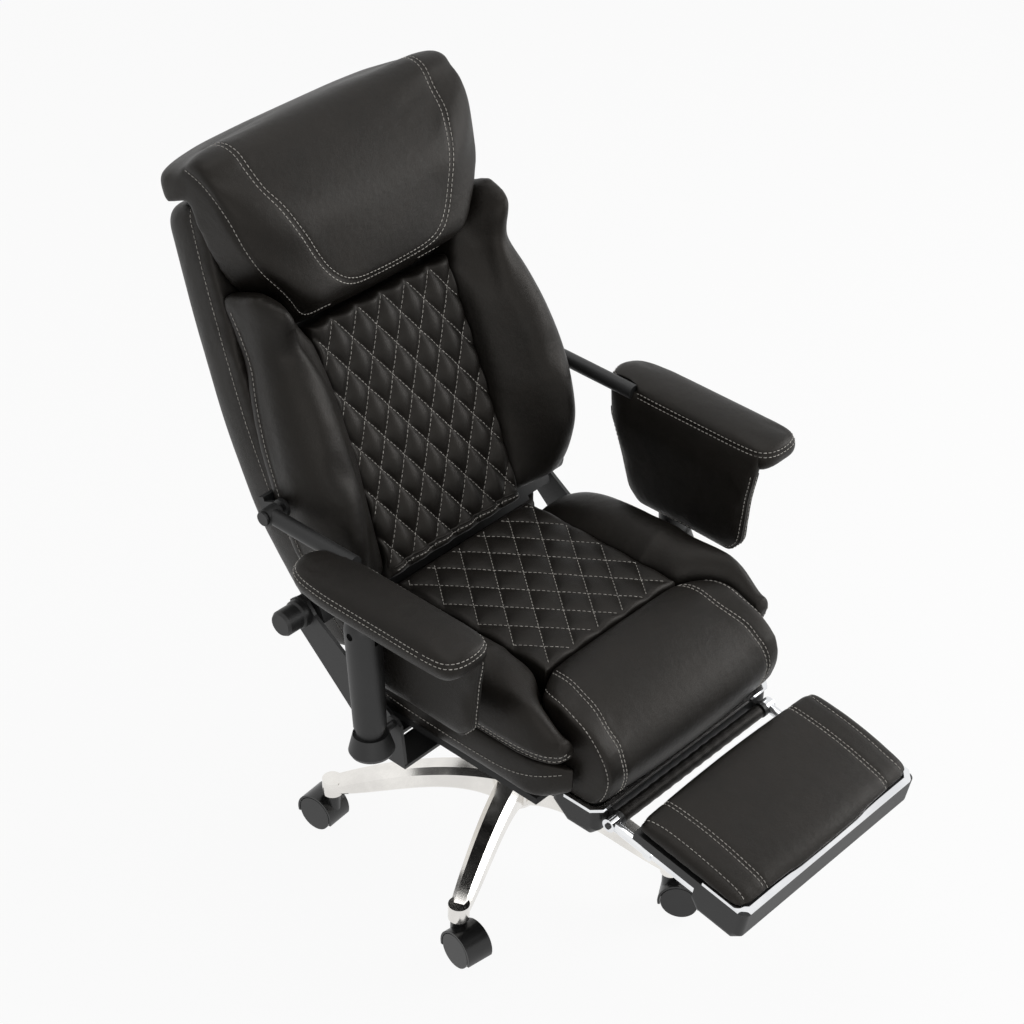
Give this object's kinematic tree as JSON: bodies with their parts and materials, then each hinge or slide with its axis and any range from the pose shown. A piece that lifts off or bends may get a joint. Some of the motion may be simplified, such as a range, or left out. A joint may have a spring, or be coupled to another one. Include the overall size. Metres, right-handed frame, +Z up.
{
  "type": "reclining office chair with footrest",
  "caption": "High-backed swivel office chair in padded black leather with quilted centre, reclining back, linked padded arms, fold-down footrest, gas lift and star base on casters.",
  "frame": {"origin": "on the floor, on the axis of the column", "axes": "+Z up; the seat's front and the footrest point to -Y; +X is the sitter's left; at rest the back leans back 24 degrees and the footrest is out"},
  "size_m": [0.812, 1.148, 1.1827],
  "materials": {
    "black_leather": "satin",
    "polished_aluminium": "polished",
    "chrome": "polished",
    "black_plastic": "satin",
    "caster_nylon": "gloss",
    "black_steel": "satin",
    "bright_steel": "satin",
    "plywood": "raw",
    "foam": "matte"
  },
  "bodies": {
    "base": {"base_star": "polished_aluminium", "gas_cylinder": "black_steel", "dust_cover_lower": "black_plastic"},
    "cover": {"dust_cover_middle": "black_plastic"},
    "column": {"gas_piston": "bright_steel", "dust_cover_upper": "black_plastic"},
    "seat": {"tilt_housing": "black_steel", "seat_bolts": "bright_steel", "seat_pan": "plywood", "seat_core": "foam", "seat_border": "black_leather", "seat_centre_pad": "black_leather", "seat_bolster_left": "black_leather", "seat_bolster_right": "black_leather", "seat_front_roll": "black_leather", "front_trim": "chrome", "footrest_housing": "black_plastic", "hinge_bar": "black_leather", "hinge_fittings": "black_steel", "arm_bracket_left": "black_steel", "arm_bracket_right": "black_steel", "recline_plate_left": "black_steel", "recline_plate_right": "black_steel", "recline_hub_left": "black_plastic", "recline_hub_right": "black_plastic"},
    "lever": {"height_lever": "black_plastic"},
    "knob": {"tension_knob": "black_plastic"},
    "back": {"back_frame": "plywood", "back_shell": "black_leather", "back_centre_pad": "black_leather", "back_wing_left": "black_leather", "back_wing_right": "black_leather", "headrest": "black_leather", "arm_link_bracket_left": "black_steel", "arm_link_bracket_right": "black_steel"},
    "footrest_arms": {"outer_rails": "chrome"},
    "footrest": {"inner_rails": "chrome", "footrest_pan": "black_plastic", "footrest_trim": "chrome", "footrest_pad": "black_leather"},
    "caster_1": {"caster_fork_1": "caster_nylon"},
    "wheels_1": {"caster_wheels_1": "caster_nylon"},
    "caster_2": {"caster_fork_2": "caster_nylon"},
    "wheels_2": {"caster_wheels_2": "caster_nylon"},
    "caster_3": {"caster_fork_3": "caster_nylon"},
    "wheels_3": {"caster_wheels_3": "caster_nylon"},
    "caster_4": {"caster_fork_4": "caster_nylon"},
    "wheels_4": {"caster_wheels_4": "caster_nylon"},
    "caster_5": {"caster_fork_5": "caster_nylon"},
    "wheels_5": {"caster_wheels_5": "caster_nylon"},
    "post_left": {"arm_post_left": "black_plastic", "post_cup_left": "black_plastic"},
    "arm_left": {"arm_pad_left": "black_leather", "arm_panel_left": "black_leather", "arm_frame_left": "black_steel"},
    "post_right": {"arm_post_right": "black_plastic", "post_cup_right": "black_plastic"},
    "arm_right": {"arm_pad_right": "black_leather", "arm_panel_right": "black_leather", "arm_frame_right": "black_steel"}
  },
  "joints": [
    {"name": "caster_swivel_1", "type": "hinge", "parent": "base", "child": "caster_1", "pos_m": [-0.20306, 0.22083, 0.08], "axis": [0, 0, 1], "continuous": true},
    {"name": "caster_roll_1", "type": "hinge", "parent": "caster_1", "child": "wheels_1", "pos_m": [-0.20481, 0.24075, 0.03], "axis": [-0.9962, -0.0872, 0], "continuous": true},
    {"name": "caster_swivel_2", "type": "hinge", "parent": "base", "child": "caster_2", "pos_m": [-0.27277, -0.12488, 0.08], "axis": [0, 0, 1], "continuous": true},
    {"name": "caster_roll_2", "type": "hinge", "parent": "caster_2", "child": "wheels_2", "pos_m": [-0.27555, -0.14469, 0.03], "axis": [0.9903, -0.1392, 0], "continuous": true},
    {"name": "caster_swivel_3", "type": "hinge", "parent": "base", "child": "caster_3", "pos_m": [0.03448, -0.29801, 0.08], "axis": [0, 0, 1], "continuous": true},
    {"name": "caster_roll_3", "type": "hinge", "parent": "caster_3", "child": "wheels_3", "pos_m": [0.04448, -0.31533, 0.03], "axis": [0.866, 0.5, 0], "continuous": true},
    {"name": "caster_swivel_4", "type": "hinge", "parent": "base", "child": "caster_4", "pos_m": [0.29408, -0.0593, 0.08], "axis": [0, 0, 1], "continuous": true},
    {"name": "caster_roll_4", "type": "hinge", "parent": "caster_4", "child": "wheels_4", "pos_m": [0.31288, -0.05246, 0.03], "axis": [-0.342, 0.9397, 0], "continuous": true},
    {"name": "caster_swivel_5", "type": "hinge", "parent": "base", "child": "caster_5", "pos_m": [0.14727, 0.26136, 0.08], "axis": [0, 0, 1], "continuous": true},
    {"name": "caster_roll_5", "type": "hinge", "parent": "caster_5", "child": "wheels_5", "pos_m": [0.15727, 0.27869, 0.03], "axis": [-0.866, 0.5, 0], "continuous": true},
    {"name": "column_lift", "type": "slide", "parent": "base", "child": "column", "axis": [0, 0, 1], "range_m": [-0.065, 0.035]},
    {"name": "cover_slide", "type": "slide", "parent": "base", "child": "cover", "axis": [0, 0, 1], "range_m": [-0.0325, 0.0175]},
    {"name": "seat_swivel", "type": "hinge", "parent": "column", "child": "seat", "pos_m": [0, 0, 0.31], "axis": [0, 0, 1], "continuous": true},
    {"name": "height_lever_lift", "type": "hinge", "parent": "seat", "child": "lever", "pos_m": [0.03, -0.02, 0.322], "axis": [0, -1, 0], "range_deg": [0, 5], "stiffness_Nm_per_rad": 3, "springref_deg": -5.73},
    {"name": "tension_knob_turn", "type": "hinge", "parent": "seat", "child": "knob", "pos_m": [0, -0.14, 0.326], "axis": [0, -1, 0], "continuous": true},
    {"name": "back_recline", "type": "hinge", "parent": "seat", "child": "back", "pos_m": [0, 0.213, 0.49], "axis": [-1, 0, 0], "range_deg": [-14, 30]},
    {"name": "footrest_fold", "type": "hinge", "parent": "seat", "child": "footrest_arms", "pos_m": [0, -0.344, 0.352], "axis": [1, 0, 0], "range_deg": [0, 70]},
    {"name": "footrest_slide", "type": "slide", "parent": "footrest_arms", "child": "footrest", "axis": [0, 0.9848, 0.1736], "range_m": [0, 0.03]},
    {"name": "arm_post_tilt_left", "type": "hinge", "parent": "seat", "child": "post_left", "pos_m": [0.354, -0.016, 0.424], "axis": [-1, 0, 0], "range_deg": [-14, 30]},
    {"name": "arm_level_left", "type": "hinge", "parent": "post_left", "child": "arm_left", "pos_m": [0.354, 0, 0.622], "axis": [-1, 0, 0], "range_deg": [-30, 14]},
    {"name": "arm_post_tilt_right", "type": "hinge", "parent": "seat", "child": "post_right", "pos_m": [-0.354, -0.016, 0.424], "axis": [-1, 0, 0], "range_deg": [-14, 30]},
    {"name": "arm_level_right", "type": "hinge", "parent": "post_right", "child": "arm_right", "pos_m": [-0.354, 0, 0.622], "axis": [-1, 0, 0], "range_deg": [-30, 14]}
  ],
  "couplings": [
    {"joint": "arm_post_tilt_left", "follows": "back_recline", "ratio": 1},
    {"joint": "arm_level_left", "follows": "back_recline", "ratio": -1},
    {"joint": "arm_post_tilt_right", "follows": "back_recline", "ratio": 1},
    {"joint": "arm_level_right", "follows": "back_recline", "ratio": -1},
    {"joint": "cover_slide", "follows": "column_lift", "ratio": 0.5}
  ]
}
